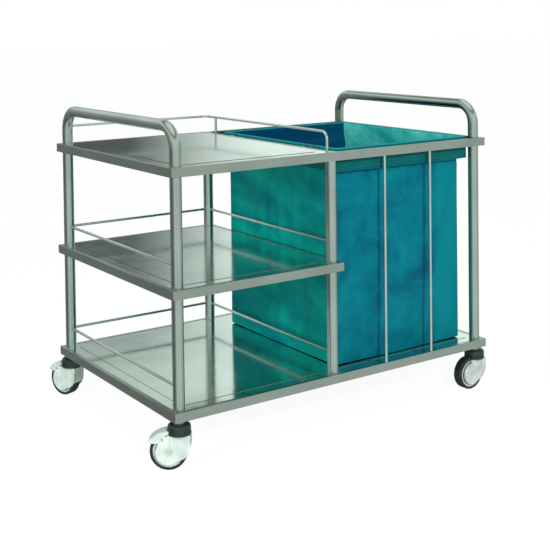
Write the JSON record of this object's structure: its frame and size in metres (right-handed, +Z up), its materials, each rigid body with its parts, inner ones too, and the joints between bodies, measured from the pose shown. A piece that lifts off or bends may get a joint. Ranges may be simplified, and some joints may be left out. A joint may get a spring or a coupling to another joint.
{
  "type": "linen trolley",
  "caption": "Stainless linen trolley with shelves and guard wires on one side, an open laundry bag on a hoop on the other, push handles and swivel casters.",
  "frame": {"origin": "on the floor, under the middle of the box round the trolley with its casters as pictured; the middle of the four swivel axes is 23 mm in front of it", "axes": "+X along the length from the shelf end to the bag end, +Y from the front to the rear, +Z up"},
  "size_m": [1.2343, 0.8084, 0.92],
  "materials": {
    "tube_steel": "polished stainless tube",
    "rail_steel": "satin stainless flat-sided tube",
    "sheet_steel": "bright polished stainless sheet",
    "wire_steel": "bright round wire and rod",
    "bag_cloth": "coated woven cloth, teal, double-stitched hems",
    "pin_steel": "turned steel",
    "black_plastic": "black moulded plastic",
    "pale_plastic": "pale grey moulded plastic",
    "pedal_plastic": "pale grey moulded plastic",
    "tyre_rubber": "black solid rubber"
  },
  "bodies": {
    "frame": {"left_end_frame": "tube_steel", "right_end_frame": "tube_steel", "front_mid_post": "tube_steel", "rear_mid_post": "tube_steel", "top_front_rail": "rail_steel", "top_rear_rail": "rail_steel", "top_left_rail": "rail_steel", "top_right_rail": "rail_steel", "top_divider_rail": "rail_steel", "middle_front_rail": "rail_steel", "middle_rear_rail": "rail_steel", "middle_left_rail": "rail_steel", "middle_right_rail": "rail_steel", "bottom_front_rail": "rail_steel", "bottom_rear_rail": "rail_steel", "bottom_left_rail": "rail_steel", "bottom_right_rail": "rail_steel", "top_shelf": "sheet_steel", "middle_shelf": "sheet_steel", "bottom_shelf": "sheet_steel", "top_guard": "wire_steel", "middle_guard_left": "wire_steel", "middle_guard_rear": "wire_steel", "middle_guard_side": "wire_steel", "bottom_guard_left": "wire_steel", "bottom_guard_rear": "wire_steel", "bottom_guard_side": "wire_steel", "front_bag_rods": "wire_steel", "rear_bag_rods": "wire_steel", "bag_hoop": "wire_steel", "hoop_brackets": "wire_steel", "linen_bag": "bag_cloth", "caster_stems": "pin_steel", "caster_collars": "black_plastic"},
    "front_left_swivel": {"front_left_yoke": "black_plastic", "front_left_hood": "pale_plastic", "front_left_axle": "pin_steel", "front_left_pedal_pin": "pin_steel"},
    "front_left_wheel": {"front_left_hub": "pale_plastic", "front_left_tyre": "tyre_rubber"},
    "front_left_brake": {"front_left_pedal": "pedal_plastic"},
    "front_right_swivel": {"front_right_yoke": "black_plastic", "front_right_hood": "pale_plastic", "front_right_axle": "pin_steel"},
    "front_right_wheel": {"front_right_hub": "pale_plastic", "front_right_tyre": "tyre_rubber"},
    "rear_left_swivel": {"rear_left_yoke": "black_plastic", "rear_left_hood": "pale_plastic", "rear_left_axle": "pin_steel", "rear_left_pedal_pin": "pin_steel"},
    "rear_left_wheel": {"rear_left_hub": "pale_plastic", "rear_left_tyre": "tyre_rubber"},
    "rear_left_brake": {"rear_left_pedal": "pedal_plastic"},
    "rear_right_swivel": {"rear_right_yoke": "black_plastic", "rear_right_hood": "pale_plastic", "rear_right_axle": "pin_steel"},
    "rear_right_wheel": {"rear_right_hub": "pale_plastic", "rear_right_tyre": "tyre_rubber"}
  },
  "joints": [
    {"name": "front_left_swivel_turn", "type": "hinge", "parent": "frame", "child": "front_left_swivel", "pos_m": [-0.54, -0.369, 0.109], "axis": [0, 0, 1], "continuous": true},
    {"name": "front_left_wheel_roll", "type": "hinge", "parent": "front_left_swivel", "child": "front_left_wheel", "pos_m": [-0.56299, -0.35302, 0.05], "axis": [-0.5707, -0.8211, 0], "continuous": true},
    {"name": "front_left_brake_press", "type": "hinge", "parent": "front_left_swivel", "child": "front_left_brake", "pos_m": [-0.57613, -0.34389, 0.084], "axis": [-0.5707, -0.8211, 0], "range_deg": [0, 5]},
    {"name": "front_right_swivel_turn", "type": "hinge", "parent": "frame", "child": "front_right_swivel", "pos_m": [0.54, -0.369, 0.109], "axis": [0, 0, 1], "continuous": true},
    {"name": "front_right_wheel_roll", "type": "hinge", "parent": "front_right_swivel", "child": "front_right_wheel", "pos_m": [0.512, -0.36949, 0.05], "axis": [0.0175, -0.9998, 0], "continuous": true},
    {"name": "rear_left_swivel_turn", "type": "hinge", "parent": "frame", "child": "rear_left_swivel", "pos_m": [-0.54, 0.323, 0.109], "axis": [0, 0, 1], "continuous": true},
    {"name": "rear_left_wheel_roll", "type": "hinge", "parent": "rear_left_swivel", "child": "rear_left_wheel", "pos_m": [-0.55013, 0.34911, 0.05], "axis": [-0.9323, -0.3616, 0], "continuous": true},
    {"name": "rear_left_brake_press", "type": "hinge", "parent": "rear_left_swivel", "child": "rear_left_brake", "pos_m": [-0.55591, 0.36402, 0.084], "axis": [-0.9323, -0.3616, 0], "range_deg": [0, 5]},
    {"name": "rear_right_swivel_turn", "type": "hinge", "parent": "frame", "child": "rear_right_swivel", "pos_m": [0.54, 0.323, 0.109], "axis": [0, 0, 1], "continuous": true},
    {"name": "rear_right_wheel_roll", "type": "hinge", "parent": "rear_right_swivel", "child": "rear_right_wheel", "pos_m": [0.56663, 0.33165, 0.05], "axis": [-0.309, 0.9511, 0], "continuous": true}
  ]
}
